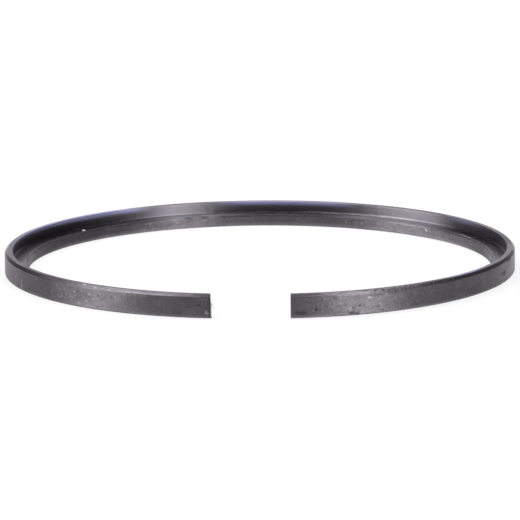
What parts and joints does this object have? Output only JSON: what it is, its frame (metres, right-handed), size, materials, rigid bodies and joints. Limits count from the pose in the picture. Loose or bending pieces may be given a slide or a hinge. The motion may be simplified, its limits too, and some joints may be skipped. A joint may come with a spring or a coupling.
{
  "type": "piston ring",
  "caption": "L-section piston ring in its free state, split by a straight gap, that seals a piston in its cylinder bore.",
  "frame": {"origin": "under the middle of the free ring, on the plane of its lower side", "axes": "+Z along the ring's axis from the lower side to the upper side, -Y towards the gap, +X to the right seen from the gap"},
  "size_m": [0.0878, 0.0854, 0.004],
  "materials": {
    "phosphated_iron": "turned and phosphated, satin"
  },
  "bodies": {
    "root": {"piston_ring": "phosphated_iron"}
  },
  "joints": []
}
